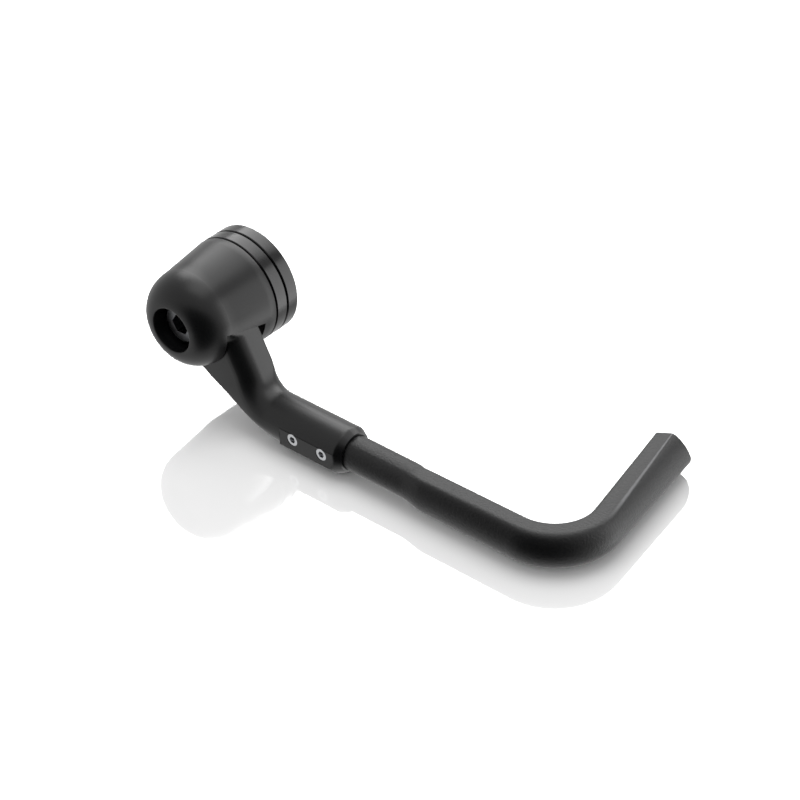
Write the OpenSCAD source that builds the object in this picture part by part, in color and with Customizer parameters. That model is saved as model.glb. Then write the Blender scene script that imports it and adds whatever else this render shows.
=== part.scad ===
// Brake lever guard for the end of a motorcycle handlebar.
// Frame: the origin is the centre of the bar-side face, +Y runs into the bar,
// +X runs forward along the guard blade and +Z is up.

/* [Head] */
// Outer diameter of the head where it meets the bar
head_d = 35.6; // [34:0.1:38]
// Length of the ring at the bar side
end_ring_l = 4.4; // [3.5:0.1:5]
// Length of the spacer ring
spacer_l = 5.4; // [4.8:0.1:6]
// Length of the nose cap
cap_l = 28.1; // [27:0.1:29]
// Radius that the cap loses between the spacer ring and the shoulder
cap_taper = 2; // [1:0.1:2.5]
// Length of the domed shoulder, measured back from the nose
shoulder_l = 10.6; // [8:0.1:11.5]
// Radius of the shoulder's round
shoulder_r = 12.5; // [11.8:0.1:14]
// Width of each shadow groove beside the spacer ring
groove_w = 0.5; // [0.3:0.1:1]
// Depth of the shadow grooves
groove_d = 0.8; // [0.4:0.1:1.5]
// Length of the spigots that centre the rings on each other
spigot_l = 1.8; // [1:0.1:2]
// Break on the outer edges of the rings and the cap
edge_break = 0.25; // [0.1:0.05:0.4]

/* [Fixing bolt] */
// Nominal diameter of the bolt
bolt_d = 8; // [7.5:0.5:8]
// Diameter of its plain shank inside the head
bolt_waist_d = 7; // [6:0.1:7.2]
// Diameter of its cap head
bolt_head_d = 13; // [12.5:0.1:13.5]
// Height of its cap head
bolt_head_h = 8; // [7:0.1:8.5]
// Width across the flats of its socket
bolt_key = 6; // [5:0.5:7]
// Length of thread that stands out at the bar side
bolt_out = 6.7; // [4:0.1:7]
// Depth of the bolt's head below the nose
head_sink = 4.2; // [3.5:0.1:5]
// Diameter of the counterbore in the nose
nose_bore_d = 15; // [14.8:0.1:16]
// Thickness of the washer under the bolt's head
washer_t = 1.6; // [1:0.1:2]
// Radial clearance of the bolt in its holes
bolt_gap = 0.3; // [0.2:0.05:0.5]

/* [Arm] */
// Thickness of the arm's leg along the bar
leg_t = 12; // [10.5:0.1:12.5]
// Distance from the bar face to the middle of the leg and the blade
blade_y = 23; // [22.6:0.1:23.4]
// Radius of the eye that the bolt clamps inside the cap
eye_r = 12.4; // [12:0.1:12.6]
// Clearance between the eye and the cap round it
eye_gap = 0.3; // [0.2:0.1:0.5]
// Clearance of the leg in the cap's window, towards the nose
window_gap = 0.7; // [0.4:0.1:1]
// Clearance of the leg in the cap's window, towards the bar
window_back_gap = 2.8; // [1:0.1:3]
// Height of the window's upper edge above the bar axis
window_top = 0.3; // [0:0.1:1]
// Angle at which that edge falls towards the bar
window_slope = 11; // [0:1:14]
// Distance forward from the bar axis to the leg's outer edge, level with the axis
leg_x = 15.7; // [15:0.1:16]
// Angle of the leg's outer edge below the horizontal
leg_angle = 62.5; // [61:0.5:66]
// Angle of the leg's inner edge below the horizontal
inner_angle = 32; // [30:1:34]
// Distance from the bar axis down to the leg's inner edge
inner_z = 14.8; // [14:0.1:16]
// Radius of the inside bend
neck_r = 8; // [6:0.5:10]
// Radius of the outside bend
heel_r = 30; // [26:1:34]
// Distance down the leg at which its edge starts to be rounded
round_start = 1.5; // [0:0.1:3]

/* [Clamp] */
// Drop of the blade's axis below the bar axis
drop = 26.4; // [25.5:0.1:27.5]
// Radius of the clamp and of the leg's round edge
clamp_r = 7.6; // [7.3:0.1:8]
// Distance from the blade's axis to the flat that carries the screws
clamp_flat = 7.5; // [7.2:0.1:7.8]
// Height of that flat above the blade's axis
flat_up = 2; // [1:0.1:3]
// Depth of that flat below the blade's axis
flat_down = 3.8; // [3.4:0.1:4.6]
// Start of the flat, measured from the bar axis
flat_start = 36.2; // [35:0.1:38]
// Forward end of the clamp, measured from the bar axis
clamp_end = 60; // [59:0.1:62]
// Length of the bevel round the clamp's mouth, measured on the block's corners
bevel_l = 4; // [3:0.1:5]
// Radius lost along that bevel
bevel_in = 1.2; // [0.6:0.1:1.6]
// Diameter of the clamp screws
screw_d = 4; // [3:0.5:4.5]
// Distance from the clamp's mouth to the front screw
screw_in = 7.1; // [5.5:0.1:8]
// Distance between the two screws
screw_pitch = 11.6; // [9:0.1:12]

/* [Blade] */
// Diameter of the round shank
shank_d = 11.2; // [10.6:0.1:11.6]
// Clearance of the shank in the clamp, on the radius
shank_gap = 0.05; // [0.03:0.01:0.1]
// Length of shank held in the clamp
shank_in = 21.5; // [19:0.5:22]
// End of the round shank, measured from the bar axis
shank_end = 81; // [78:0.5:86]
// Length of the change from the round shank to the blade section
morph_l = 9; // [6:0.5:14]
// Height of the blade at its start
start_h = 11.8; // [11:0.1:13]
// Height of the blade round the bend
bend_h = 12.5; // [11.6:0.1:14]
// Height of the blade at its tip
tip_h = 15.2; // [13:0.1:17]
// Width of the flat top at its start
start_w = 5.9; // [4.5:0.1:7]
// Width of the flat top round the bend
bend_w = 5.6; // [4.5:0.1:7]
// Width of the flat top at the tip
tip_w = 3.9; // [3:0.1:6]
// Bulge of the front face at the start
start_bulge = 2.2; // [1:0.1:3]
// Bulge of the front face round the bend
bend_bulge = 2.5; // [1:0.1:4]
// Bulge of the front face at the tip
tip_bulge = 4.8; // [2:0.1:6]
// Bulge of the rear face
rear_bulge = 1.8; // [0.5:0.1:2.5]
// Distance from the shank's axis back to the rear edge of the flat top
top_back = 2; // [1.5:0.1:2.5]
// Start of the bend, measured from the bar axis
bend_x = 124; // [118:0.5:130]
// Angle that the blade turns through
bend_angle = 99.8; // [92:0.1:106]
// Radius of the bend along the rear edge
bend_r = 14; // [11:0.5:18]
// Straight length from the bend to the tip, along the rear edge
tip_l = 42.2; // [34:0.1:48]
// Length that the tip loses for each millimetre in from its ridge
cut_in = 0.44; // [0:0.02:0.6]
// Reach of the tip's lower half past the end of the path
tip_reach = 2.3; // [0:0.1:3]
// Softness of the ridge on the long part
ridge_soft = 1.2; // [0.5:0.1:1.6]
// Softness of the ridge at the tip
tip_soft = 0.4; // [0.3:0.1:1]

/* [Hidden] */

$fn = 96;
eps = 0.01;
metal_black = [0.08, 0.08, 0.085];
steel_dark = [0.2, 0.2, 0.21];
screw_bright = [0.78, 0.78, 0.79];
plastic_black = [0.11, 0.11, 0.11];

// Lengths along the bar axis, from the bar face towards the nose
head_r = head_d / 2;
spacer_t = end_ring_l;
cap_t = spacer_t + spacer_l;
nose_t = cap_t + cap_l;
bolt_r = bolt_d / 2;
hole_r = bolt_r + bolt_gap;
nose_bore_r = nose_bore_d / 2;
head_face_t = nose_t - head_sink;
head_seat_t = head_face_t - bolt_head_h;
washer_seat_t = head_seat_t - washer_t;
front_wall = 3;
cavity_t = washer_seat_t - front_wall;
cavity_r = eye_r + 1.8;
spigot_gap = 0.1;
small_spigot_r = 10;
eye_low_t = cap_t + spigot_l;
leg_low_t = blade_y - leg_t / 2;
leg_top_t = blade_y + leg_t / 2;
window_low_t = leg_low_t - window_back_gap;
window_top_t = leg_top_t + window_gap;
window_fall = (window_top_t - window_low_t) * tan(window_slope);
shoulder_t = nose_t - shoulder_l;
shoulder_x = head_r - cap_taper;

// Things on the bar axis are drawn along +Z, from the bar face towards the nose.
module on_bar_axis() {
    rotate([90, 0, 0]) children();
}

module ring_outline(t0, t1) {
    polygon([[hole_r, t0], [head_r - edge_break, t0], [head_r, t0 + edge_break],
             [head_r, t1 - edge_break], [head_r - edge_break, t1], [hole_r, t1]]);
}

module end_ring() {
    color(metal_black) on_bar_axis() rotate_extrude() difference() {
        ring_outline(0, spacer_t);
        // recess for the spacer ring's small spigot
        translate([0, spacer_t - spigot_l]) square([small_spigot_r + spigot_gap, spigot_l + eps]);
    }
}

module spacer_ring() {
    color(metal_black) on_bar_axis() rotate_extrude() {
        ring_outline(spacer_t + groove_w, cap_t - groove_w);
        translate([hole_r, spacer_t]) square([head_r - groove_d - hole_r, spacer_l]);
        translate([hole_r, spacer_t - spigot_l + spigot_gap])
            square([small_spigot_r - hole_r, spigot_l]);
        translate([hole_r, cap_t - eps]) square([cavity_r - spigot_gap - hole_r, spigot_l + eps]);
    }
}

module cap_outline() {
    mouth = 0.2;
    difference() {
        union() {
            polygon([[0, cap_t], [head_r - edge_break, cap_t], [head_r, cap_t + edge_break],
                     [shoulder_x, shoulder_t], [0, shoulder_t]]);
            intersection() {
                translate([shoulder_x - shoulder_r, shoulder_t]) circle(shoulder_r);
                translate([0, shoulder_t - eps]) square([shoulder_x, shoulder_l + eps]);
            }
        }
        // the bolt's hole, then the counterbore and its broken edge
        translate([0, cap_t - eps]) square([hole_r, cap_l + 1]);
        translate([0, washer_seat_t]) square([nose_bore_r, cap_l]);
        polygon([[0, nose_t - mouth], [nose_bore_r, nose_t - mouth], [nose_bore_r + 2 * mouth, nose_t + mouth],
                 [0, nose_t + mouth]]);
        // the hollow for the arm's eye
        translate([0, cap_t - eps]) square([cavity_r, cavity_t - cap_t + eps]);
    }
}

// The window in the cap runs from the level of the bar axis round to behind the leg.
module window() {
    window_back = 6.5;
    difference() {
        translate([-window_back, 0, 0]) rotate([90, 0, 90]) linear_extrude(head_r + window_back + 1)
            polygon([[-window_top_t, -head_r - 1], [-window_low_t, -head_r - 1],
                     [-window_low_t, window_top - window_fall], [-window_top_t, window_top]]);
        on_bar_axis() translate([0, 0, cavity_t]) cylinder(r = eye_r + eye_gap, h = cap_l);
    }
}

module nose_cap() {
    color(metal_black) difference() {
        on_bar_axis() rotate_extrude() cap_outline();
        window();
    }
}

module bolt_washer() {
    color(steel_dark) on_bar_axis() translate([0, 0, washer_seat_t]) difference() {
        cylinder(r = nose_bore_r - 0.2, h = washer_t);
        translate([0, 0, -1]) cylinder(r = hole_r, h = washer_t + 2);
    }
}

module centre_bolt() {
    bevel = 0.7;
    thread_r = bolt_r - 0.05;
    waist_r = bolt_waist_d / 2;
    head_turn_r = bolt_head_d / 2;
    color(steel_dark) on_bar_axis() difference() {
        rotate_extrude()
            polygon([[0, -bolt_out], [thread_r - bevel, -bolt_out], [thread_r, bevel - bolt_out], [thread_r, 0],
                     [waist_r, 0], [waist_r, head_seat_t], [head_turn_r, head_seat_t],
                     [head_turn_r, head_face_t - bevel], [head_turn_r - bevel, head_face_t],
                     [0, head_face_t]]);
        translate([0, 0, head_face_t - bolt_head_h / 2])
            cylinder(r = bolt_key / sqrt(3), h = bolt_head_h, $fn = 6);
    }
}

// Bends of the arm in the plane of X and Z. The inside bend touches the leg's
// outer edge and the clamp's top.
out_x = sin(leg_angle);
out_z = cos(leg_angle);
clamp_top = clamp_r - drop;
neck_z = clamp_top + neck_r;
neck_x = (leg_x * out_x + neck_r - neck_z * out_z) / out_x;
leg_l = (neck_x - leg_x) * out_z - neck_z * out_x;
clamp_low = -drop - clamp_r;
heel_z = clamp_low + heel_r;
heel_x = (heel_r - (heel_z + inner_z) * cos(inner_angle)) / sin(inner_angle);

function mix(a, b, t) = a + (b - a) * t;
function ease(t) = let (c = max(0, min(1, t))) c * c * (3 - 2 * c);

// Distance from a point on the arm's middle line in to its lower edge. The edge is
// a straight line, then the heel's round, then the bottom of the clamp.
function to_line(p, a) = (inner_z + p[0] * tan(inner_angle) + p[1]) / (cos(a) + sin(a) * tan(inner_angle));
function to_heel(p, a) = let (d = p - [heel_x, heel_z], e = d * [sin(a), cos(a)])
    e + sqrt(e * e - d * d + heel_r * heel_r);
function below(p, a) = let (l = to_line(p, a), hit = p[0] - l * sin(a), turn_x = heel_x - heel_r * sin(inner_angle))
    min(hit < turn_x ? l : (p[0] > heel_x ? clamp_r : to_heel(p, a)), (p[0] + eye_r / 4) / max(sin(a), eps));

// A section of the arm: u points to the nose and v points out of the bend. Each
// quarter is part of an ellipse about its own centre, and stops short of its ends
// so that no two points of a section meet.
quarter_n = 8;
function quarter(u, v, ru, rv, side) = [for (i = [0:quarter_n]) let (g = side * 90 + mix(3, 87, i / quarter_n))
    [u + ru * sin(g), v + rv * cos(g)]];
function arm_section(low, k) =
    let (w = mix(leg_t / 2, clamp_r, k), edge = mix(leg_edge, clamp_r, k), low_r = mix(leg_edge, low, k))
    concat(quarter(0, clamp_r - w, w, w, 0), quarter(w - edge, low_r - low, edge, low_r, 1),
           quarter(edge - w, low_r - low, edge, low_r, 2), quarter(edge - w, clamp_r - edge, edge, edge, 3));

leg_edge = 0.6;
run_out = 5.2;
join_l = round_start + run_out + 0.4;
blend_l = 4;

sunk = 100;

// Stations down the leg, round the bend and into the clamp: middle point, slope,
// and the distance travelled. The first and last are a little small, so that they
// sink into the root and the clamp.
function leg_point(s) = [leg_x + s * out_z - clamp_r * out_x, -s * out_x - clamp_r * out_z];
function bend_point(a) = [neck_x - (neck_r + clamp_r) * sin(a), neck_z - (neck_r + clamp_r) * cos(a)];
arm_stations = concat(
    [for (s = [join_l, join_l + 0.3]) [leg_point(s), leg_angle, s]],
    [for (i = [1:4]) let (s = mix(join_l + 0.3, leg_l, i / 4)) [leg_point(s), leg_angle, s]],
    [for (i = [1:14]) let (a = leg_angle * (1 - i / 14)) [bend_point(a), a, leg_l + blend_l * i / 4]],
    [for (i = [1:4]) [[mix(neck_x, flat_start - 0.3, i / 4), -drop], 0, leg_l + 4 * blend_l + i]],
    [[[flat_start + 0.6, -drop], 0, sunk]]);

function arm_ring(st) =
    let (p = st[0], a = st[1], s = st[2], k = ease((s - leg_l + blend_l) / (4 * blend_l)),
         fit = s > join_l && s < sunk ? 1 : 0.97)
    [for (q = arm_section(below(p, a), k) * fit)
        [p[0] + q[1] * sin(a), -blade_y - q[0], p[1] + q[1] * cos(a)]];

// Faces of a row of rings of n points each, seen clockwise from outside. The points
// after the rings are the middle of the first ring and of the last one.
function middle(ring) = [for (i = [0:2]) [for (p = ring) p[i]] * [for (p = ring) 1] / len(ring)];
function ring_points(rings) = concat([for (r = rings) each r], [middle(rings[0]), middle(rings[len(rings) - 1])]);
function ring_faces(n, last) = let (start = (last + 1) * n) concat(
    [for (j = [0:n - 1]) [start, j, (j + 1) % n]],
    [for (j = [0:n - 1]) [start + 1, last * n + (j + 1) % n, last * n + j]],
    [for (i = [0:last - 1]) for (j = [0:n - 1]) let (k = (j + 1) % n)
        [i * n + j, (i + 1) * n + j, (i + 1) * n + k]],
    [for (i = [0:last - 1]) for (j = [0:n - 1]) let (k = (j + 1) % n)
        [i * n + j, (i + 1) * n + k, i * n + k]]);

module leg() {
    polyhedron(points = ring_points([for (st = arm_stations) arm_ring(st)]),
               faces = ring_faces(4 * (quarter_n + 1), len(arm_stations) - 1));
}

// The leg's own frame: X runs down its outer edge and Z points out of it.
module on_leg() {
    translate([leg_x, 0, 0]) rotate([0, leg_angle, 0]) children();
}

// Flat root of the leg. The round on its nose side runs out to a point at the crest.
module root() {
    back = -3;
    reach = 40;
    end = leg_point(join_l + 0.15);
    in_l = to_line(end, leg_angle);
    difference() {
        on_bar_axis() translate([0, 0, leg_low_t]) linear_extrude(leg_t)
            polygon([[back, 0], [leg_x, 0], end + clamp_r * [out_x, out_z], end - in_l * [out_x, out_z],
                     [back, -inner_z - back * tan(inner_angle)]]);
        on_leg() difference() {
            translate([0, 0, -clamp_r]) linear_extrude(2 * clamp_r)
                polygon([[round_start + run_out, -blade_y], [round_start - 1, -leg_top_t - 1],
                         [reach, -leg_top_t - 1], [reach, -blade_y]]);
            translate([-reach, -blade_y, -leg_t / 2]) rotate([0, 90, 0]) cylinder(r = leg_t / 2, h = 2 * reach);
        }
        // slope of the root under the window's upper edge
        translate([back - 1, 0, 0]) rotate([90, 0, 90]) linear_extrude(reach)
            polygon([[-window_top_t, 0], [-window_low_t, -window_fall], [-window_low_t, 1], [-window_top_t, 1]]);
        // room for the core of the cap
        on_bar_axis() translate([0, 0, cavity_t]) cylinder(r = eye_r + 2 * eye_gap, h = cap_l);
    }
}

module clamp_block() {
    cone_r = clamp_r + 1;
    difference() {
        union() {
            translate([flat_start, -blade_y, -drop]) rotate([0, 90, 0])
                cylinder(r = clamp_r, h = clamp_end - flat_start);
            // the machined front with its chamfer below
            translate([flat_start, -blade_y, -drop]) rotate([90, 0, 90]) linear_extrude(clamp_end - flat_start)
                polygon([[0, flat_up], [-clamp_flat, flat_up], [-clamp_flat, -flat_down],
                         [-flat_down, -clamp_r], [0, -clamp_r]]);
        }
        // bevel round the mouth
        translate([clamp_end - bevel_l, -blade_y, -drop]) rotate([0, 90, 0]) rotate_extrude()
            polygon([[cone_r, 0], [clamp_r - bevel_in, bevel_l], [clamp_r - bevel_in, bevel_l + 1],
                     [2 * clamp_r, bevel_l + 1], [2 * clamp_r, 0]]);
    }
}

socket_start = clamp_end - shank_in - 1;

module screw_hole(x) {
    translate([x, -blade_y, -drop]) rotate([90, 0, 0]) cylinder(d = screw_d, h = 2 * clamp_r);
}

module arm() {
    color(metal_black) difference() {
        union() {
            on_bar_axis() translate([0, 0, eye_low_t]) cylinder(r = eye_r, h = cavity_t - eye_low_t);
            root();
            leg();
            clamp_block();
        }
        on_bar_axis() cylinder(r = hole_r, h = nose_t);
        translate([socket_start, -blade_y, -drop]) rotate([0, 90, 0])
            cylinder(r = shank_d / 2 + shank_gap, h = 2 * shank_in);
        screw_hole(clamp_end - screw_in);
        screw_hole(clamp_end - screw_in - screw_pitch);
    }
}

// A short set screw that bears on the shank
module clamp_screw(x) {
    seat = shank_d / 2 + shank_gap;
    screw_l = clamp_flat - seat - 0.15;
    key = 2;
    color(screw_bright) translate([x, -blade_y, -drop]) rotate([90, 0, 0]) translate([0, 0, seat]) difference() {
        cylinder(d = screw_d, h = screw_l);
        translate([0, 0, screw_l - 1]) cylinder(r = key / sqrt(3), h = 2, $fn = 6);
    }
}

module rear_clamp_screw() {
    clamp_screw(clamp_end - screw_in - screw_pitch);
}

module front_clamp_screw() {
    clamp_screw(clamp_end - screw_in);
}

// The blade's section: u points outwards from the rear edge of the flat top and
// v points up. Both faces are arcs, and each corner is a short curve.
arc_n = 8;
corner_n = 4;
sec_n = 4 * (corner_n + 1) + 2 * (arc_n - 1);

function curve(a, b, c) = [for (i = [0:corner_n]) let (t = i / corner_n)
    mix(mix(a, b, t), mix(b, c, t), t)];
function bulge_r(h, b) = (h * h + b * b) / (2 * b);
function bulge_a(h, b, s) = asin(h / bulge_r(h, b)) - s / bulge_r(h, b) * 180 / PI;
function front(h, w, b, a) = [w + b - bulge_r(h, b) * (1 - cos(a)), bulge_r(h, b) * sin(a)];
function rear(h, b, a) = [bulge_r(h, b) * (1 - cos(a)) - b, bulge_r(h, b) * sin(a)];
function section(h, w, b, s) =
    let (af = bulge_a(h, b, s), ar = bulge_a(h, rear_bulge, s), rb = rear_bulge)
    concat(
        curve(rear(h, rb, ar), [0, h], [s, h]),
        curve([w - s, h], [w, h], front(h, w, b, af)),
        [for (i = [1:arc_n - 1]) front(h, w, b, mix(af, -af, i / arc_n))],
        curve(front(h, w, b, -af), [w, -h], [w - s, -h]),
        curve([s, -h], [0, -h], rear(h, rb, -ar)),
        [for (i = [1:arc_n - 1]) rear(h, rb, mix(-ar, ar, i / arc_n))]);

// Lengths along the rear edge, from the end of the round shank
morph_end = morph_l;
bend_start = bend_x - shank_end;
bend_l = bend_r * bend_angle * PI / 180;
bend_end = bend_start + bend_l;
path_end = bend_end + tip_l;
cut_l = 14;
// How far the tip reaches at heights from its lower ridge to its upper one
tip_shape = [[-1, 0.43], [-0.84, 0.83], [-0.63, 1], [-0.38, 0.83], [-0.09, 0.35], [0.19, -0.09], [0.47, -0.33],
             [0.71, -0.43], [1, -0.35]];

function size_at(s, a, b, c) = lookup(s, [[morph_end, a], [bend_start, b], [bend_end, b], [path_end, c]]);
function turn(s) = s < bend_start ? 0 : (s > bend_end ? bend_angle : (s - bend_start) / bend_r * 180 / PI);
function path(s) = let (a = turn(s), past = max(0, s - bend_end))
    s < bend_start ? [shank_end + s, top_back]
    : [bend_x + bend_r * sin(a) + past * cos(a), top_back + bend_r * (1 - cos(a)) + past * sin(a)];
function blend(s) = ease(s / morph_l);

// The round shank's points lie in the directions of the section's own points.
function outline(s) =
    let (h = size_at(s, start_h, bend_h, tip_h) / 2,
         w = size_at(s, start_w, bend_w, tip_w),
         b = size_at(s, start_bulge, bend_bulge, tip_bulge),
         soft = size_at(s, ridge_soft, ridge_soft, tip_soft),
         hub = [top_back, 0])
    [for (p = section(h, w, b, soft))
        mix(hub + (p - hub) / norm(p - hub) * (shank_d / 2 - eps), p, blend(s))];
function station(s) =
    let (a = turn(s), p = path(s), k = max(0, 1 - (path_end - s) / cut_l))
    [for (q = outline(s)) let (cut = k * (cut_in * min(q[0] - tip_w, 0) + tip_reach * lookup(2 * q[1] / tip_h, tip_shape)))
        [p[0] + q[0] * sin(a) + cut * cos(a), p[1] - q[0] * cos(a) + cut * sin(a), q[1]]];

stations = concat([-1],
    [for (i = [0:11]) morph_l * i / 11],
    [for (i = [1:4]) mix(morph_l, bend_start, i / 4)],
    [for (i = [1:20]) mix(bend_start, bend_end, i / 20)],
    [for (i = [1:6]) mix(bend_end, path_end - cut_l, i / 6)],
    [for (i = [1:4]) mix(path_end - cut_l, path_end, i / 4)]);

module blade() {
    color(plastic_black) translate([0, -blade_y, -drop]) {
        translate([socket_start + 1, 0, 0]) rotate([0, 90, 0])
            cylinder(d = shank_d, h = shank_end - socket_start - 1);
        polyhedron(points = ring_points([for (s = stations) station(s)]),
                   faces = ring_faces(sec_n, len(stations) - 1));
    }
}

nose_cap();
spacer_ring();
end_ring();
centre_bolt();
bolt_washer();
arm();
rear_clamp_screw();
front_clamp_screw();
blade();
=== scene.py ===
import math

import bmesh
import bpy
import numpy as np
from mathutils import Matrix, Vector


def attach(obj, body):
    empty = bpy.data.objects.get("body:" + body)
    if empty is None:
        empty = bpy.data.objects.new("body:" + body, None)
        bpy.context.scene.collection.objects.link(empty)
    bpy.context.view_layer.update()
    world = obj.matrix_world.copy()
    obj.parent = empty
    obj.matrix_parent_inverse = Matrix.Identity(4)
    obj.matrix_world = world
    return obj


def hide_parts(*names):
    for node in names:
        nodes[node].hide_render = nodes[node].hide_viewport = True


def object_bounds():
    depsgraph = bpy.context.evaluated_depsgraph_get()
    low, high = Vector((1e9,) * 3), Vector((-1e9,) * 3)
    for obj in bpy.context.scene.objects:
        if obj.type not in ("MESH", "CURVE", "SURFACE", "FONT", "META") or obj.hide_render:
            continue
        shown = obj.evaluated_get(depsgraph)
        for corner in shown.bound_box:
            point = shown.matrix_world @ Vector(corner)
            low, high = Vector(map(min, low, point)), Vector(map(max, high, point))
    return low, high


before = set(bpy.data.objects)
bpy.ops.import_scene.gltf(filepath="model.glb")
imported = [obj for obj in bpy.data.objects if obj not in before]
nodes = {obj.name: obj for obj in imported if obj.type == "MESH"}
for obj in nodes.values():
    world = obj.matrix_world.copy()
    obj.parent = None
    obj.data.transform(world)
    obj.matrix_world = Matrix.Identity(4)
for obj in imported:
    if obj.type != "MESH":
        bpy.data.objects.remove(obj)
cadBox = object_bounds()
print("frame loaded")


# small helpers

def hexToLinear(code):
    # sRGB hex to linear: a power curve above a short straight foot
    channels = [int(code[i:i + 2], 16) / 255 for i in (1, 3, 5)]
    linear = [c / 12.92 if c <= 0.04045 else ((c + 0.055) / 1.055) ** 2.4 for c in channels]
    return (*linear, 1.0)


def addNode(tree, kind, inputs=None, **settings):
    # one node with its settings; an input given as a socket is linked, anything else is its value
    node = tree.nodes.new(kind)
    for name, value in settings.items():
        setattr(node, name, value)
    for name, value in (inputs or {}).items():
        if isinstance(value, bpy.types.NodeSocket):
            tree.links.new(value, node.inputs[name])
        else:
            node.inputs[name].default_value = value
    return node


def newMaterial(name):
    material = bpy.data.materials.new(name)
    material.use_nodes = True
    material.node_tree.nodes.clear()
    return material, material.node_tree


def finishMaterial(tree, shader):
    addNode(tree, "ShaderNodeOutputMaterial", {"Surface": shader})


# materials; smoother and rougher are how far the grain takes the roughness down and up

anodised = {
    "colour": "#070708",
    "roughness": 0.36,
    "ringRoughness": 0.2,
    "smoother": 0.04,
    "rougher": 0.05,
    "turnedSpecular": 0.3,
    "forgedSpecular": 0.34,
    "turnedAnisotropy": 0.3,
    "grainMm": 0.35,             # real marks are under 0.1 mm, too fine to show: drawn coarser
    "alongMark": 2.0,            # noise cells a metre along a turned mark: it reads as a ring
    "grainDetail": 3.0,
    "grainDepthMm": 0.02,
    "grainStrength": 0.12,
}


def anodisedAluminium(name, roughness, turned):
    # black anodised aluminium: the dyed oxide layer gives a dark satin sheen over the metal,
    # with faint rings round the bar axis where it was turned
    material, tree = newMaterial(name)
    coords = addNode(tree, "ShaderNodeTexCoord").outputs["Object"]
    fine = 1000 / anodised["grainMm"]
    around = anodised["alongMark"] if turned else fine
    mapped = addNode(tree, "ShaderNodeMapping", {
        "Vector": coords, "Scale": (around, fine, around)}).outputs["Vector"]
    grain = addNode(tree, "ShaderNodeTexNoise", {
        "Vector": mapped, "Scale": 1.0, "Detail": anodised["grainDetail"]}).outputs["Fac"]
    bump = addNode(tree, "ShaderNodeBump", {
        "Height": grain, "Strength": anodised["grainStrength"],
        "Distance": anodised["grainDepthMm"] / 1000}).outputs["Normal"]
    rough = addNode(tree, "ShaderNodeMapRange", {
        "Value": grain, "To Min": roughness - anodised["smoother"],
        "To Max": roughness + anodised["rougher"]}).outputs["Result"]
    shader = addNode(tree, "ShaderNodeBsdfPrincipled", {
        "Base Color": hexToLinear(anodised["colour"]), "Roughness": rough, "Normal": bump,
        "Specular IOR Level": anodised["turnedSpecular" if turned else "forgedSpecular"],
        "Anisotropic": anodised["turnedAnisotropy"] if turned else 0.0})
    finishMaterial(tree, shader.outputs["BSDF"])
    return material


polymer = {
    "colour": "#0b0b0c",
    # the pale colour of a painted highlight along the sharp upper edge of the blade's end section
    "ridgeColour": "#626264",
    "roughness": 0.4,
    "smoother": 0.05,
    "rougher": 0.07,
    "specular": 0.28,
    "ior": 1.5,
    "grainMm": 0.7,              # the real grain is 0.1 to 0.2 mm, too fine to show: drawn coarser
    "grainDetail": 4.0,
    "grainRoughness": 0.65,
    "grainDepthMm": 0.2,
    "grainStrength": 0.8,
}


def mouldedPolymer():
    # glass-filled nylon, moulded in a lightly eroded tool: a fine matt grain
    material, tree = newMaterial("mouldedNylon")
    coords = addNode(tree, "ShaderNodeTexCoord").outputs["Object"]
    grain = addNode(tree, "ShaderNodeTexNoise", {
        "Vector": coords, "Scale": 1000 / polymer["grainMm"], "Detail": polymer["grainDetail"],
        "Roughness": polymer["grainRoughness"]}).outputs["Fac"]
    bump = addNode(tree, "ShaderNodeBump", {
        "Height": grain, "Strength": polymer["grainStrength"],
        "Distance": polymer["grainDepthMm"] / 1000}).outputs["Normal"]
    rough = addNode(tree, "ShaderNodeMapRange", {
        "Value": grain, "To Min": polymer["roughness"] - polymer["smoother"],
        "To Max": polymer["roughness"] + polymer["rougher"]}).outputs["Result"]
    # painted highlight: a pale colour along the sharp upper edge of the end section, set by the
    # blade's own attribute, stands in for the light that the edge catches; 6 and 7 are the two
    # colours that the node mixes, and output 2 is the mixed colour
    ridge = addNode(tree, "ShaderNodeAttribute", attribute_name="ridge").outputs["Fac"]
    colour = addNode(tree, "ShaderNodeMix", {
        0: ridge, 6: hexToLinear(polymer["colour"]),
        7: hexToLinear(polymer["ridgeColour"])}, data_type="RGBA").outputs[2]
    shader = addNode(tree, "ShaderNodeBsdfPrincipled", {
        "Base Color": colour, "Roughness": rough, "Normal": bump,
        "Specular IOR Level": polymer["specular"], "IOR": polymer["ior"]})
    finishMaterial(tree, shader.outputs["BSDF"])
    return material


steel = {
    "darkColour": "#6a6b6d",
    "darkRoughness": 0.3,
    "brightColour": "#b5b6b8",
    "brightRoughness": 0.2,
    "smoother": 0.05,
    "rougher": 0.08,
    "cloudsPerMetre": 900.0,     # clouds of about 1.1 mm
    "cloudDetail": 3.0,
}


def zincSteel(name, colour, roughness):
    # zinc-plated steel: metal with a slightly cloudy plating
    material, tree = newMaterial(name)
    coords = addNode(tree, "ShaderNodeTexCoord").outputs["Object"]
    cloud = addNode(tree, "ShaderNodeTexNoise", {
        "Vector": coords, "Scale": steel["cloudsPerMetre"],
        "Detail": steel["cloudDetail"]}).outputs["Fac"]
    rough = addNode(tree, "ShaderNodeMapRange", {
        "Value": cloud, "To Min": roughness - steel["smoother"],
        "To Max": roughness + steel["rougher"]}).outputs["Result"]
    shader = addNode(tree, "ShaderNodeBsdfPrincipled", {
        "Base Color": hexToLinear(colour), "Metallic": 1.0, "Roughness": rough})
    finishMaterial(tree, shader.outputs["BSDF"])
    return material


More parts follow.
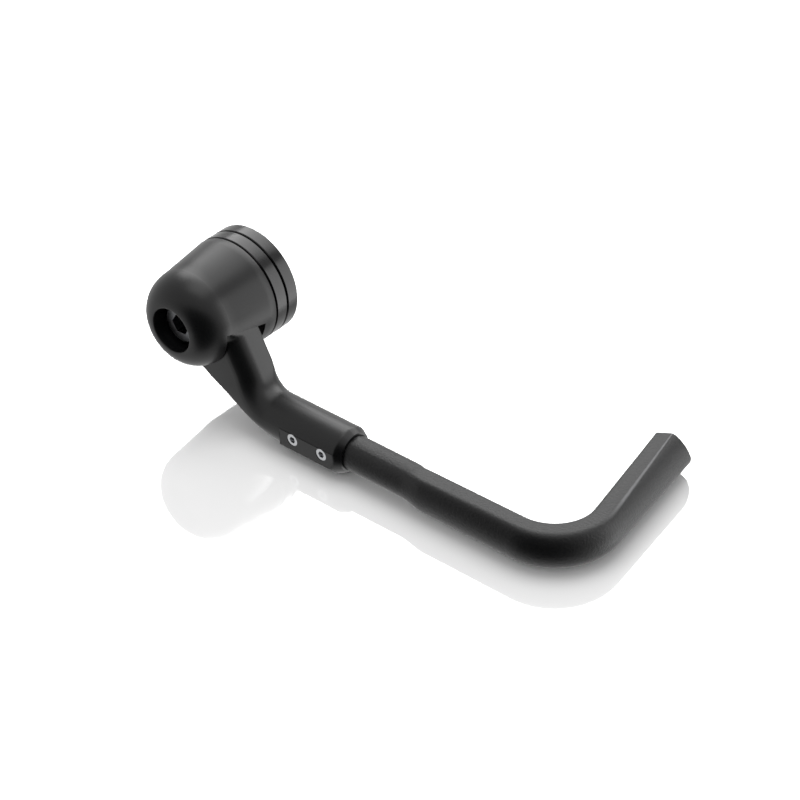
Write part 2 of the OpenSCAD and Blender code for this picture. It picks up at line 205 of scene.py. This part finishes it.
turnedAluminium = anodisedAluminium("turnedAnodisedAluminium", anodised["roughness"], True)
ringAluminium = anodisedAluminium("brightTurnedAnodisedAluminium", anodised["ringRoughness"], True)
forgedAluminium = anodisedAluminium("blastedAnodisedAluminium", anodised["roughness"], False)
nylon = mouldedPolymer()
darkSteel = zincSteel("darkZincSteel", steel["darkColour"], steel["darkRoughness"])
brightSteel = zincSteel("brightZincSteel", steel["brightColour"], steel["brightRoughness"])

finishOf = {
    "nose_cap": turnedAluminium,
    "spacer_ring": ringAluminium,
    "end_ring": ringAluminium,
    "arm": forgedAluminium,
    "blade": nylon,
    "centre_bolt": darkSteel,
    "bolt_washer": darkSteel,
    "rear_clamp_screw": brightSteel,
    "front_clamp_screw": brightSteel,
}

for name, material in finishOf.items():
    for slot in nodes[name].material_slots:
        slot.material = material
print("materials set")


# surfaces

surface = {
    "smoothUnder": 32,           # degrees: a fold sharper than this shows as an edge
    "weldGap": 2e-6,             # metres: points nearer than this are joined after a cut
    "aroundSteps": 160,          # points of a row that goes round the bar axis
}


def mix(a, b, t):
    # straight line from a, where t is 0, to b, where t is 1
    return a + (b - a) * t


def ease(t):
    # 3 t squared less 2 t cubed, between 0 and 1: it starts and ends level
    t = np.clip(t, 0.0, 1.0)
    return t * t * (3 - 2 * t)


def rowsAlong(stops, counts):
    # places on a path: evenly spaced from each stop to the next, with every stop there once
    spans = zip(stops, stops[1:], counts)
    return np.concatenate([stops[:1], *(np.linspace(a, b, n)[1:] for a, b, n in spans)])


def aroundBar(profile, count=surface["aroundSteps"]):
    # rows of points: each (radius, distance towards the nose) in mm goes round the bar axis
    turn = np.linspace(0, 2 * math.pi, count, endpoint=False)[None, :]
    r, t = profile[:, :1], profile[:, 1:2]
    return np.stack([r * np.cos(turn), -t + 0 * turn, r * np.sin(turn)], axis=-1) / 1000


def shadeSmooth(obj, smoothUnder):
    obj.data.shade_smooth()
    obj.data.set_sharp_from_angle(angle=math.radians(smoothUnder))


def ringMesh(name, rings, material, loop=False, smoothUnder=surface["smoothUnder"]):
    # closed skin over rows of points: neighbours on a row and on the next row make a face; the last
    # row joins the first one in a loop, or else a point in the middle closes each end row
    rows, count = rings.shape[:2]
    points = rings.reshape(-1, 3)
    here = np.arange(rows * count).reshape(rows, count)
    after, nextRow = np.roll(here, -1, axis=1), np.roll(here, -1, axis=0)
    quads = np.stack([here, nextRow, np.roll(nextRow, -1, axis=1), after], axis=-1)
    tips = np.empty((0, 3), int)
    if not loop:
        quads = quads[:-1]
        points = np.concatenate([points, [rings[0].mean(axis=0), rings[-1].mean(axis=0)]])
        firstMiddle, lastMiddle = np.full(count, rows * count), np.full(count, rows * count + 1)
        tips = np.concatenate([np.stack([firstMiddle, here[0], after[0]], axis=-1),
                               np.stack([lastMiddle, after[-1], here[-1]], axis=-1)])
    quads = quads.reshape(-1, 4)

    # the faces and the origin enclose a volume, which is negative if they point inwards
    a, b, c, d = (points[quads[:, k]] for k in range(4))
    volume = (a * np.cross(b, c)).sum() + (a * np.cross(c, d)).sum()
    if volume < 0:
        quads, tips = quads[:, ::-1], tips[:, ::-1]

    mesh = bpy.data.meshes.new(name)
    mesh.from_pydata(points.tolist(), [], quads.tolist() + tips.tolist())
    mesh.materials.append(material)
    obj = bpy.data.objects.new(name, mesh)
    bpy.context.collection.objects.link(obj)
    shadeSmooth(obj, smoothUnder)
    return obj


def cutAway(obj, cutter, smoothUnder=surface["smoothUnder"]):
    # takes the cutter's shape out of the piece for good, welds the slivers and drops the cutter
    cut = obj.modifiers.new("cut", "BOOLEAN")
    cut.object = cutter
    cut.solver = "EXACT"
    bpy.context.view_layer.update()
    mesh = bpy.data.meshes.new_from_object(
        obj.evaluated_get(bpy.context.evaluated_depsgraph_get()))
    welded = bmesh.new()
    welded.from_mesh(mesh)
    bmesh.ops.remove_doubles(welded, verts=welded.verts, dist=surface["weldGap"])
    bmesh.ops.dissolve_degenerate(welded, edges=welded.edges, dist=surface["weldGap"])
    welded.to_mesh(mesh)
    welded.free()
    obj.modifiers.clear()
    obj.data = mesh
    bpy.data.objects.remove(cutter)
    shadeSmooth(obj, smoothUnder)


def dress(obj, slotName, *replaced):
    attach(obj, "root")
    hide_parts(*replaced)


# blade, in millimetres; four values are given where the section is complete, at both ends of the
# bend and at the tip

bladeShape = {
    "axisY": -23.0,              # the shank's axis
    "axisZ": -26.4,
    "shankFrom": 38.5,           # x of the end in the clamp, and of where the section starts
    "shankTo": 81.0,
    "shankRadius": 5.59,
    "changeLength": 9.0,         # the round shank turns into the blade's section over this length
    "height": (11.8, 12.5, 12.5, 15.2),
    "topWidth": (5.9, 5.6, 5.6, 4.4),
    "frontBulge": (2.2, 2.5, 3.45, 5.8),
    "ridgeSoftness": (1.2, 1.2, 1.2, 0.4),
    "rearBulge": 1.8,
    "topBack": 2.0,              # from the shank's axis back to the flat top's rear edge
    "bendX": 123.1,
    "bendTurn": 99.8,            # degrees
    "bendRadius": 14.0,
    "tipLength": 41.98,
    "cutLength": 14.0,           # the last stretch, which the leaning end pulls along
    "cutIn": 0.44,               # lean of the end in the view from above
    "tipReach": 2.3,             # how far the curve of the end stands out at most
    "tipHeights": (-1, -0.84, -0.63, -0.38, -0.09, 0.19, 0.47, 0.71, 1),      # of half the height
    "tipShape": (0.43, 0.83, 1, 0.83, 0.35, -0.09, -0.33, -0.43, -0.35),      # of the reach
    "tipRound": 0.35,
    "ridgeBefore": 5.0,          # the painted highlight along the upper edge starts this far before the bend's end and is at its full strength after this length
    "ridgeOver": 14.0,           # and is at its full strength after this length
    # strength of the painted highlight on the three points across the upper edge
    "ridgeStrength": (0.6, 1, 0.6),
    "lastShankRow": 0.5,         # how far before the change the last row of the shank is
    "rows": (24, 2, 37, 12, 61, 20, 12),      # on each stretch, both of its ends counted
    "rimSteps": 4,
    "endSteps": 8,
    "cornerSteps": 6,
    "faceSteps": 24,
}


def curveCorner(a, b, c):
    # quadratic curve from a to c that leans towards the corner b
    t = np.linspace(0, 1, bladeShape["cornerSteps"] + 1)[None, :, None]
    return mix(mix(a, b, t), mix(b, c, t), t)


def bladeSection(h, w, b, soft):
    # one outline a row: a flat top and bottom, two faces that are arcs, and four soft corners;
    # an arc's radius is (half height squared plus bulge squared) over twice the bulge
    rb = bladeShape["rearBulge"]
    frontR, rearR = (h * h + b * b) / (2 * b), (h * h + rb * rb) / (2 * rb)
    frontTurn = np.arcsin(h / frontR) - soft / frontR
    rearTurn = np.arcsin(h / rearR) - soft / rearR

    def at(u, v):
        return np.stack(np.broadcast_arrays(u, v), axis=-1)

    def front(a):
        return at(w + b - frontR * (1 - np.cos(a)), frontR * np.sin(a))

    def rear(a):
        return at(rearR * (1 - np.cos(a)) - rb, rearR * np.sin(a))

    sweep = np.linspace(0, 1, bladeShape["faceSteps"] + 1)[None, 1:-1]
    return np.concatenate([
        curveCorner(rear(rearTurn), at(0 * h, h), at(soft, h)),
        curveCorner(at(w - soft, h), at(w, h), front(frontTurn)),
        front(mix(frontTurn, -frontTurn, sweep)),
        curveCorner(front(-frontTurn), at(w, -h), at(w - soft, -h)),
        curveCorner(at(soft, -h), at(0 * h, -h), rear(-rearTurn)),
        rear(mix(-rearTurn, rearTurn, sweep))], axis=1)


def makeBlade(material):
    # the outline is carried along a line that runs straight, turns through an arc and runs
    # straight again; the end leans and its rim is rounded
    k = bladeShape
    bendStart = k["bendX"] - k["shankTo"]
    turnAll = math.radians(k["bendTurn"])
    bendEnd = bendStart + k["bendRadius"] * turnAll
    pathEnd = bendEnd + k["tipLength"]

    # each row's distance along the line from the shank's end; the last rows go round the rim and
    # in across the end, and inset and shrink say how far
    run = rowsAlong([k["shankFrom"] - k["shankTo"], -k["lastShankRow"], 0, k["changeLength"],
                     bendStart, bendEnd, pathEnd - k["cutLength"], pathEnd - k["tipRound"]],
                    k["rows"])
    rim = np.linspace(0, math.pi / 2, k["rimSteps"] + 1)[1:]
    inner = np.linspace(0, 1, k["endSteps"] + 1)[1:-1]
    inset = np.concatenate([np.zeros(len(run)), k["tipRound"] * (1 - np.cos(rim)),
                            np.full(len(inner), k["tipRound"])])
    run = np.concatenate([run, pathEnd - k["tipRound"] * (1 - np.sin(rim)),
                          np.full(len(inner), pathEnd)])
    shrink = np.concatenate([np.ones(len(run) - len(inner)), 1 - inner])

    # the outline of each row, eased from the shank's circle into the blade's section
    marks = [k["changeLength"], bendStart, bendEnd, pathEnd]
    h, w, b, soft = (np.interp(run, marks, k[name])[:, None]
                     for name in ("height", "topWidth", "frontBulge", "ridgeSoftness"))
    hub = np.array([k["topBack"], 0.0])
    outline = bladeSection(h / 2, w, b, soft) - hub
    reach = np.linalg.norm(outline, axis=-1, keepdims=True)
    rounded = outline / reach * k["shankRadius"]
    outline = mix(rounded, outline, ease(run / k["changeLength"])[:, None, None])
    reach = np.linalg.norm(outline, axis=-1, keepdims=True)
    outline = outline * (1 - inset[:, None, None] / reach) * shrink[:, None, None] + hub
    u, v = outline[..., 0], outline[..., 1]

    # the line itself, and how far the leaning, curved end pulls each point along it
    turn = np.clip((run - bendStart) / k["bendRadius"], 0, turnAll)[:, None]
    past = np.maximum(0, run - bendEnd)[:, None]
    before = np.minimum(run, bendStart)[:, None]
    pathX = k["shankTo"] + before + k["bendRadius"] * np.sin(turn) + past * np.cos(turn)
    pathY = k["topBack"] + k["bendRadius"] * (1 - np.cos(turn)) + past * np.sin(turn)
    ending = np.clip(1 - (pathEnd - run) / k["cutLength"], 0, 1)[:, None]
    shape = np.interp(v / (k["height"][-1] / 2), k["tipHeights"], k["tipShape"])
    cut = ending * (k["cutIn"] * np.minimum(u - k["topWidth"][-1], 0) + k["tipReach"] * shape)
    points = np.stack([pathX + u * np.sin(turn) + cut * np.cos(turn),
                       pathY - u * np.cos(turn) + cut * np.sin(turn) + k["axisY"],
                       v + k["axisZ"]], axis=-1) / 1000
    blade = ringMesh("blade_moulding", points, material)

    # painted highlight: it lies on the sharp upper edge, the middle of the outline's second soft
    # corner, on the end section; the two points that close the ends have none
    ridgeAt = k["cornerSteps"] + 3
    across = np.zeros(points.shape[1])
    across[ridgeAt:ridgeAt + 3] = k["ridgeStrength"]
    values = np.outer(ease((run - bendEnd + k["ridgeBefore"]) / k["ridgeOver"]), across).ravel()
    ridge = blade.data.attributes.new("ridge", "FLOAT", "POINT")
    ridge.data.foreach_set("value", np.concatenate([values, [0, 0]]).astype(np.float32))
    dress(blade, "blade_plastic", "blade")


# arm, in millimetres from the bar axis

armShape = {
    "legMiddle": -23.0,          # y of the plate's middle, and of the clamp's axis
    "legThickness": 12.0,
    "legX": 15.7,                # the leg's upper edge passes the height of the bar axis here
    "legAngle": 62.5,            # degrees below level
    "legFrom": -2.0,             # the leg starts this far up, inside the cap
    "leastX": -3.1,              # no point of the leg is further back
    "innerZ": 14.8,              # the inner edge passes x = 0 this far down
    "innerAngle": 32.0,
    "neckRadius": 8.0,           # hollow above the bend
    "heelRadius": 30.0,          # round below the bend
    "drop": 26.4,                # from the bar axis down to the clamp's axis
    "clampRadius": 7.6,
    "edge": 0.6,                 # radius of the plate's own edges
    "roundFrom": -0.8,           # the round on the nose side starts here along the leg
    "roundOver": 3.6,
    "clampBefore": 4.0,          # the plate starts to turn into the clamp this far before the bend
    "clampOver": 16.0,
    "bendRun": 14.0,             # length that the bend counts as in that
    "flatFrom": 36.2,            # x where the machined flat starts
    "flatBefore": 0.05,          # the last round row is this far before it
    "flatAfter": 0.3,
    "flat": 7.5,                 # from the clamp's axis out to the flat, up and down to its edges
    "flatUp": 2.0,
    "flatDown": 3.8,
    "clampEnd": 60.0,
    "bevelLength": 4.0,
    "bevelCorner": 8.6,          # radius of the coned mouth where it starts and at the end
    "mouthRadius": 6.4,
    "mouthEdge": 0.1,
    "boreRadius": 5.66,
    "boreDepth": 14.0,           # from the end back to the last row, inside
    "screwX": (41.3, 52.9),
    "screwHole": 2.06,
    "screwFrom": 5.8,            # from the clamp's axis out to the hole's inner end
    "screwLength": 4.0,
    "screwSteps": 96,
    "eyeRadius": 12.4,
    "eyeFrom": 11.6,             # from the bar face towards the nose
    "eyeTo": 21.1,
    "eyeHole": 4.3,
    "smoothUnder": 28,
    "legRows": 46,
    "bendRows": 30,
    "neckRows": 8,
    "clampRows": (2, 6, 15),
    "quarterPoints": (13, 13, 13, 14),
    "quarterEnds": ((0, 90), (90.01, 180), (180.01, 270), (270.01, 359.9)),
    "cornerGaps": (0.6, 0.8),    # degrees from the flat's corners to the points beside them
}


def makeArm(material):
    # a plate that is rounded on its nose side turns through a bend into a round clamp: each row is
    # four quarters of ellipses about their own centres; the clamp's rows are a circle with a
    # machined flat, cut by a cone at the mouth, and the last rows run back inside
    k = armShape
    tilt, inner = math.radians(k["legAngle"]), math.radians(k["innerAngle"])
    outX, outZ = math.sin(tilt), math.cos(tilt)
    big, w = k["clampRadius"], k["legThickness"] / 2
    neckZ = big - k["drop"] + k["neckRadius"]
    neckX = (k["legX"] * outX + k["neckRadius"] - neckZ * outZ) / outX
    legLength = (neckX - k["legX"]) * outZ - neckZ * outX
    heelZ = -k["drop"] - big + k["heelRadius"]
    heelX = (k["heelRadius"] - (heelZ + k["innerZ"]) * math.cos(inner)) / math.sin(inner)

    # middle of each row, its slope, and how far along the arm it is
    down = np.linspace(k["legFrom"], legLength, k["legRows"])
    slope = np.linspace(tilt, 0, k["bendRows"] + 1)[1:]
    along = np.linspace(neckX, k["flatFrom"] - k["flatBefore"], k["neckRows"] + 1)[1:]
    x = np.concatenate([k["legX"] + down * outZ - big * outX,
                        neckX - (k["neckRadius"] + big) * np.sin(slope), along])
    z = np.concatenate([-down * outX - big * outZ,
                        neckZ - (k["neckRadius"] + big) * np.cos(slope),
                        np.full(len(along), -k["drop"])])
    a = np.concatenate([np.full(len(down), tilt), slope, np.zeros(len(along))])
    run = np.concatenate([down, legLength + np.linspace(0, k["bendRun"], k["bendRows"] + 1)[1:],
                          np.full(len(along), legLength + k["clampOver"])])

    # depth of each row down to the inner edge: a straight line, then the heel's round
    toLine = (k["innerZ"] + x * math.tan(inner) + z) / (np.cos(a) + np.sin(a) * math.tan(inner))
    dx, dz = x - heelX, z - heelZ
    across = dx * np.sin(a) + dz * np.cos(a)
    heelReach = across ** 2 - dx ** 2 - dz ** 2 + k["heelRadius"] ** 2
    toHeel = across + np.sqrt(np.maximum(heelReach, 0))
    hit = x - toLine * np.sin(a)
    turnX = heelX - k["heelRadius"] * math.sin(inner)
    low = np.where(hit < turnX, toLine, np.where(x > heelX, big, toHeel))
    level = 0.01      # a slope less than this counts as this, so that nothing divides by zero
    low = np.minimum(low, (x - k["leastX"]) / np.maximum(np.sin(a), level))

    # half widths and corner radii of each row, from the plate to the clamp's circle
    full = ease((run - legLength + k["clampBefore"]) / k["clampOver"])
    started = ease((run - k["roundFrom"]) / k["roundOver"])
    wide, edge = mix(w, big, full), mix(k["edge"], big, full)
    nose = mix(mix(k["edge"], w, started), big, full)
    lowR = mix(k["edge"], low, full)

    # directions of a row's points, in degrees from the top towards the nose side, with some more
    # at the corners of the flat, of the slant below it and of the level bottom
    corners = [math.degrees(math.atan2(k["flat"], k["flatUp"])),
               math.degrees(math.atan2(k["flat"], -k["flatDown"])),
               math.degrees(math.atan2(k["flatDown"], -big))]
    topGap, gap = k["cornerGaps"]
    extra = np.array([corners[0] - topGap, corners[0],
                      corners[1] - gap, corners[1], corners[1] + gap,
                      corners[2] - gap, corners[2], corners[2] + gap])
    quarters = [np.linspace(*ends, n) for ends, n in zip(k["quarterEnds"], k["quarterPoints"])]
    quarters[0] = np.sort(np.concatenate([quarters[0], extra[extra < 90]]))
    quarters[1] = np.sort(np.concatenate([quarters[1], extra[extra > 90]]))
    turns = [np.radians(q)[None, :] for q in quarters]

    def quarter(u, v, ru, rv, g):
        return np.stack([u[:, None] + ru[:, None] * np.sin(g),
                         v[:, None] + rv[:, None] * np.cos(g)], axis=-1)

    section = np.concatenate([
        quarter(wide - nose, big - nose, nose, nose, turns[0]),
        quarter(wide - edge, lowR - low, edge, lowR, turns[1]),
        quarter(edge - wide, lowR - low, edge, lowR, turns[2]),
        quarter(edge - wide, big - edge, edge, edge, turns[3])], axis=1)
    u, v = section[..., 0], section[..., 1]
    rows = np.stack([x[:, None] + v * np.sin(a)[:, None], k["legMiddle"] - u,
                     z[:, None] + v * np.cos(a)[:, None]], axis=-1)

    # from the clamp's axis out to its outline in each direction
    g = np.degrees(np.concatenate(turns, axis=1))
    s, c = np.sin(np.radians(g)), np.cos(np.radians(g))
    slant = np.array([big - k["flatDown"], k["flatDown"] - k["flat"]])
    slant = slant / np.hypot(*slant)
    toSlant = slant @ [k["flat"], -k["flatDown"]]
    reach = np.full(g.shape, big)
    with np.errstate(divide="ignore"):
        reach = np.where((g >= corners[0]) & (g <= corners[1]), k["flat"] / s, reach)
        reach = np.where((g > corners[1]) & (g <= corners[2]),
                         toSlant / (slant[0] * s + slant[1] * c), reach)
        reach = np.where((g > corners[2]) & (g <= 180), -big / c, reach)

    # the cone cuts only the mouth; the last two rows lie inside, where the shank hides them, and
    # the very last one is as wide as the outside
    bevelStart = k["clampEnd"] - k["bevelLength"]
    clampX = rowsAlong([k["flatFrom"], k["flatFrom"] + k["flatAfter"], bevelStart, k["clampEnd"]],
                       k["clampRows"])
    clampX = np.concatenate([clampX, [k["clampEnd"], k["clampEnd"] - k["mouthEdge"],
                                      k["clampEnd"] - k["boreDepth"]]])[:, None]
    coned = np.clip((clampX - k["clampEnd"] + k["bevelLength"]) / k["bevelLength"], 0, 1)
    cone = mix(k["bevelCorner"], k["mouthRadius"], coned)
    cone[-3:-1] = [[k["boreRadius"] + k["mouthEdge"]], [k["boreRadius"]]]
    r = np.minimum(reach, np.where(clampX < bevelStart, np.inf, cone))
    clamp = np.stack([clampX + 0 * r, k["legMiddle"] - r * s, -k["drop"] + r * c], axis=-1)

    arm = ringMesh("arm_forging", np.concatenate([rows, clamp]) / 1000, material,
                   smoothUnder=k["smoothUnder"])
    drill = aroundBar(np.array([[k["screwHole"], 0.0], [k["screwHole"], k["screwLength"]]]),
                      k["screwSteps"])
    for screwX in k["screwX"]:
        place = np.array([screwX, k["legMiddle"] - k["screwFrom"], -k["drop"]]) / 1000
        cutAway(arm, ringMesh("hole", drill + place, material), k["smoothUnder"])
    dress(arm, "anodised_black", "arm")

    eye = np.array([[k["eyeHole"], k["eyeFrom"]], [k["eyeRadius"], k["eyeFrom"]],
                    [k["eyeRadius"], k["eyeTo"]], [k["eyeHole"], k["eyeTo"]]])
    dress(ringMesh("arm_eye", aroundBar(eye), material, loop=True), "anodised_black", "arm")


# nose cap, in millimetres: radius from the bar axis and distance from the bar face

capShape = {
    "from": 9.8,
    "shoulder": 27.3,
    "nose": 37.9,
    "radius": 17.8,
    "shoulderRadius": 15.8,
    "crown": 7.7,
    "bore": 7.5,
    "boreFloor": 24.1,
    "boltHole": 4.3,
    "hollow": 14.2,
    "hollowTo": 21.1,
    "edge": 0.25,                # size of the rim's edge, and of the step that softens it
    "edgeStep": 0.07,
    "boreEdge": 0.2,             # depth of the counterbore's edge, and the two steps in it
    "boreStep": (0.05, 0.06),
    "window": ((-29.7, 0.3), (-14.2, -2.71)),      # (y, z) of its top at the nose and bar side
    "windowBack": -6.5,          # x where the window starts
    "windowReach": 20.0,         # how far the cutter reaches forwards and down
    "core": 12.7,                # radius that the window spares, round the eye
    "coreIn": 0.2,
    "coreTo": 45.0,
    "sideSteps": 8,
    "domeSteps": 40,
    "aroundSteps": 192,
}


def makeCap(material):
    # turned profile: a tapered side, then a quarter of an ellipse from the shoulder to the bore
    k = capShape
    turn = np.linspace(0, math.pi / 2, k["domeSteps"])
    dome = np.stack([k["crown"] + (k["shoulderRadius"] - k["crown"]) * np.cos(turn),
                     k["shoulder"] + (k["nose"] - k["shoulder"]) * np.sin(turn)], axis=-1)
    sideFrom = k["from"] + k["edge"]
    side = np.stack([np.linspace(k["radius"], k["shoulderRadius"], k["sideSteps"]),
                     np.linspace(sideFrom, k["shoulder"], k["sideSteps"])], axis=-1)
    wider, deeper = k["boreStep"]
    profile = np.concatenate([
        [[k["hollow"], k["from"]], [k["radius"] - k["edge"], k["from"]],
         [k["radius"] - k["edgeStep"], k["from"] + k["edgeStep"]]],
        side[:-1],
        dome,
        [[k["bore"] + wider, k["nose"] - deeper], [k["bore"], k["nose"] - k["boreEdge"]],
         [k["bore"], k["boreFloor"]], [k["boltHole"], k["boreFloor"]],
         [k["boltHole"], k["hollowTo"]], [k["hollow"], k["hollowTo"]]]])
    cap = ringMesh("nose_cap_turning", aroundBar(profile, k["aroundSteps"]), material, loop=True)

    # the window: a block below a sloping line, less the round core where the eye is
    (yNose, zNose), (yBar, zBar) = k["window"]
    far = k["windowReach"]
    edge = np.array([[yNose, zNose], [yBar, zBar], [yBar, -far], [yNose, -far]])
    block = np.stack([np.column_stack([np.full(4, x), edge]) for x in (k["windowBack"], far)])
    cutter = ringMesh("window", block / 1000, material)
    core = np.array([[k["core"], k["hollowTo"] - k["coreIn"]], [k["core"], k["coreTo"]]])
    cutAway(cutter, ringMesh("core", aroundBar(core), material))
    cutAway(cap, cutter)
    dress(cap, "anodised_black", "nose_cap")


makeBlade(nylon)
makeArm(forgedAluminium)
makeCap(turnedAluminium)
print("blade, arm and cap built")


# studio, in metres

studio = {
    "white": "#ffffff",
    "floorSize": 3.0,
    "floorGap": 0.0002,          # from the object's underside down to the floor
    "mirror": 0.2,               # share of the floor's look that is reflection
    "mirrorRoughness": 0.02,
    "dome": 0.84,                # strength of the white dome, as a light
}


def makeFloor():
    # one square under the object: glossy white acrylic sheet, a white body with a mirror-like skin
    low = cadBox[0][2] - studio["floorGap"]
    half = studio["floorSize"] / 2
    corners = [(-half, -half, low), (half, -half, low), (half, half, low), (-half, half, low)]
    mesh = bpy.data.meshes.new("floor")
    mesh.from_pydata(corners, [], [(0, 1, 2, 3)])
    floor = bpy.data.objects.new("floor", mesh)
    bpy.context.collection.objects.link(floor)
    material, tree = newMaterial("whiteAcrylicSheet")
    white = hexToLinear(studio["white"])
    body = addNode(tree, "ShaderNodeBsdfDiffuse", {"Color": white}).outputs["BSDF"]
    skin = addNode(tree, "ShaderNodeBsdfGlossy", {
        "Color": white, "Roughness": studio["mirrorRoughness"]}).outputs["BSDF"]
    sheet = addNode(tree, "ShaderNodeMixShader", {"Fac": studio["mirror"], 1: body, 2: skin})
    finishMaterial(tree, sheet.outputs["Shader"])
    mesh.materials.append(material)
    # the object's own reflections look past the floor, at the flag and the softboxes
    floor.visible_glossy = floor.visible_shadow = False


def makeWorld():
    # full white where the camera looks and in what a shiny or clear surface shows, and a slightly
    # weaker dome where it lights the object
    world = bpy.data.worlds.new("studioDome")
    bpy.context.scene.world = world
    world.use_nodes = True
    tree = world.node_tree
    tree.nodes.clear()
    path = addNode(tree, "ShaderNodeLightPath")
    seen = path.outputs["Is Camera Ray"]
    for other in ("Is Glossy Ray", "Is Transmission Ray"):
        seen = addNode(tree, "ShaderNodeMath", {0: seen, 1: path.outputs[other]},
                       operation="MAXIMUM").outputs[0]
    strength = addNode(tree, "ShaderNodeMapRange", {
        "Value": seen, "To Min": studio["dome"], "To Max": 1.0}).outputs["Result"]
    sky = addNode(tree, "ShaderNodeBackground", {
        "Color": hexToLinear(studio["white"]), "Strength": strength})
    addNode(tree, "ShaderNodeOutputWorld", {"Surface": sky.outputs["Background"]})


flagShape = {
    "colour": "#0d0d0d",
    "centre": (0.07, -0.02),
    "radius": 0.26,
    "fromTo": (-118, -8),        # degrees, from the near side round to the right
    "height": 0.26,              # above the underside, in the middle
    "below": 1.4,                # the part below is this much taller
    "least": 1e-3,               # height left at the two ends
    "steps": 40,
}


def makeFlag():
    # black cloth flag, an upright strip on an arc whose height falls to nothing at both ends, as
    # the root of a sine: only reflections see it
    k = flagShape
    turn = np.radians(np.linspace(*k["fromTo"], k["steps"]))
    height = np.sin(np.linspace(0, math.pi, k["steps"])) ** 0.5 * k["height"]
    low = cadBox[0][2]
    arc = np.stack([np.cos(turn), np.sin(turn)], axis=-1) * k["radius"] + k["centre"]
    points = np.concatenate([np.column_stack([arc, low - k["below"] * height - k["least"]]),
                             np.column_stack([arc, low + height + k["least"]])])
    here = np.arange(k["steps"] - 1)
    above = here + k["steps"]
    faces = np.stack([here, here + 1, above + 1, above], axis=-1)
    mesh = bpy.data.meshes.new("blackFlag")
    mesh.from_pydata(points.tolist(), [], faces.tolist())
    flag = bpy.data.objects.new("blackFlag", mesh)
    bpy.context.collection.objects.link(flag)
    material, tree = newMaterial("blackCloth")
    cloth = addNode(tree, "ShaderNodeBsdfDiffuse", {"Color": hexToLinear(k["colour"])})
    finishMaterial(tree, cloth.outputs["BSDF"])
    mesh.materials.append(material)
    flag.visible_camera = flag.visible_diffuse = flag.visible_shadow = False


# the first softbox lights the object; the others give only reflections, a wide one behind for the
# upper faces and an upright one at the right

softboxes = {
    "backSoftbox": {"place": (0.02, 0.12, 0.80), "target": (0.05, 0.0, 0.0),
                    "size": (0.6, 0.6), "watts": 2.5, "lights": True},
    "sheenSoftbox": {"place": (-0.27, 0.60, 0.60), "target": (0.05, -0.01, 0.0),
                     "size": (1.2, 0.6), "watts": 10.0, "lights": False},
    "sideSoftbox": {"place": (0.50, 0.325, -0.02), "target": (0.05, -0.01, 0.0),
                    "size": (0.26, 1.0), "watts": 3.0, "lights": False},
}


def addSoftbox(name, place, target, size, watts, lights):
    lamp = bpy.data.lights.new(name, "AREA")
    lamp.shape = "RECTANGLE"
    lamp.size, lamp.size_y = size
    lamp.energy = watts
    obj = bpy.data.objects.new(name, lamp)
    bpy.context.collection.objects.link(obj)
    obj.location = place
    obj.rotation_euler = (Vector(target) - Vector(place)).to_track_quat("-Z", "Y").to_euler()
    if not lights:
        obj.visible_diffuse = obj.visible_camera = False


makeFloor()
makeWorld()
makeFlag()
for name, values in softboxes.items():
    addSoftbox(name, **values)
print("studio built")


# camera, fitted to the photo: the view direction as two angles, a roll, the focal length in
# pixels of the square image, the pixel on which the head's bar-side centre falls, and the
# distance to that centre in metres

view = {
    "azimuth": 40.719,
    "elevation": 36.531,
    "roll": -1.047,
    "focalPx": 2889.646,
    "originPx": (255.299, 276.141),
    "distance": 0.900,
    "imagePx": 800,
    "sensorMm": 36.0,
}


def makeCamera():
    # the camera sits back along the view direction, then aside by its centre pixel less the
    # origin's pixel, at the origin's depth
    az, el, roll = (math.radians(view[name]) for name in ("azimuth", "elevation", "roll"))
    back = Vector((math.sin(az) * math.cos(el), -math.cos(az) * math.cos(el), math.sin(el)))
    level = Vector((math.cos(az), math.sin(az), 0.0))
    upright = back.cross(level)
    right = math.cos(roll) * level + math.sin(roll) * upright
    up = -math.sin(roll) * level + math.cos(roll) * upright
    middle = view["imagePx"] / 2
    x = (view["originPx"][0] - middle) / view["focalPx"] * view["distance"]
    y = -(view["originPx"][1] - middle) / view["focalPx"] * view["distance"]
    place = back * view["distance"] - right * x - up * y
    cam = bpy.data.cameras.new("photoCamera")
    cam.sensor_width = view["sensorMm"]
    cam.lens = view["sensorMm"] * view["focalPx"] / view["imagePx"]
    obj = bpy.data.objects.new("photoCamera", cam)
    bpy.context.collection.objects.link(obj)
    turn = Matrix((right, up, back)).transposed().to_4x4()
    obj.matrix_world = Matrix.Translation(place) @ turn
    bpy.context.scene.camera = obj


makeCamera()
bpy.context.scene.view_settings.view_transform = "Standard"
print("camera placed")
